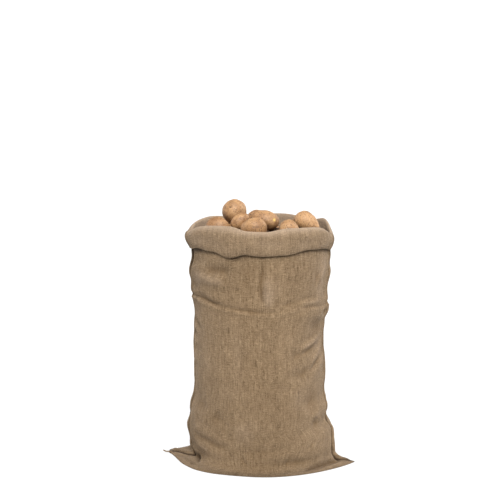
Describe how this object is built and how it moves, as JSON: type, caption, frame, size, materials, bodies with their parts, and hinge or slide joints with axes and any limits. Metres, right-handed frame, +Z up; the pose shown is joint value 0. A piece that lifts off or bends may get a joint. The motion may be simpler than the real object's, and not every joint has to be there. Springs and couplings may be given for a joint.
{
  "type": "hessian sack filled with potatoes",
  "caption": "Standing jute sack with an open mouth rolled down into a soft cuff, flat corner ears at its base, and potatoes heaped just above the rim.",
  "frame": {"origin": "middle of the flat base, on the floor, halfway between the tips of the two corner ears", "axes": "+Z up, +X towards the right-hand side seam and its ear, -Y towards the front panel"},
  "size_m": [0.5499, 0.3751, 0.732],
  "materials": {
    "hessian": "coarse plain weave, matt",
    "potato_skin": null,
    "potatoes_below": null
  },
  "bodies": {
    "root": {"filling_core": "potatoes_below", "potato_behind_long": "potato_skin", "potato_behind_peak": "potato_skin", "potato_behind_right": "potato_skin", "potato_centre_01": "potato_skin", "potato_front_left": "potato_skin", "potato_front_mid": "potato_skin", "potato_front_right": "potato_skin", "potato_leaning": "potato_skin", "potato_long_top": "potato_skin", "potato_low_left": "potato_skin", "potato_middle_01": "potato_skin", "potato_middle_02": "potato_skin", "potato_middle_03": "potato_skin", "potato_middle_04": "potato_skin", "potato_middle_05": "potato_skin", "potato_outer_01": "potato_skin", "potato_outer_02": "potato_skin", "potato_outer_03": "potato_skin", "potato_outer_04": "potato_skin", "potato_outer_05": "potato_skin", "potato_outer_06": "potato_skin", "potato_outer_07": "potato_skin", "potato_peak": "potato_skin", "potato_right_top": "potato_skin", "potato_under_long": "potato_skin", "potato_under_right": "potato_skin", "sack": "hessian"}
  },
  "joints": []
}
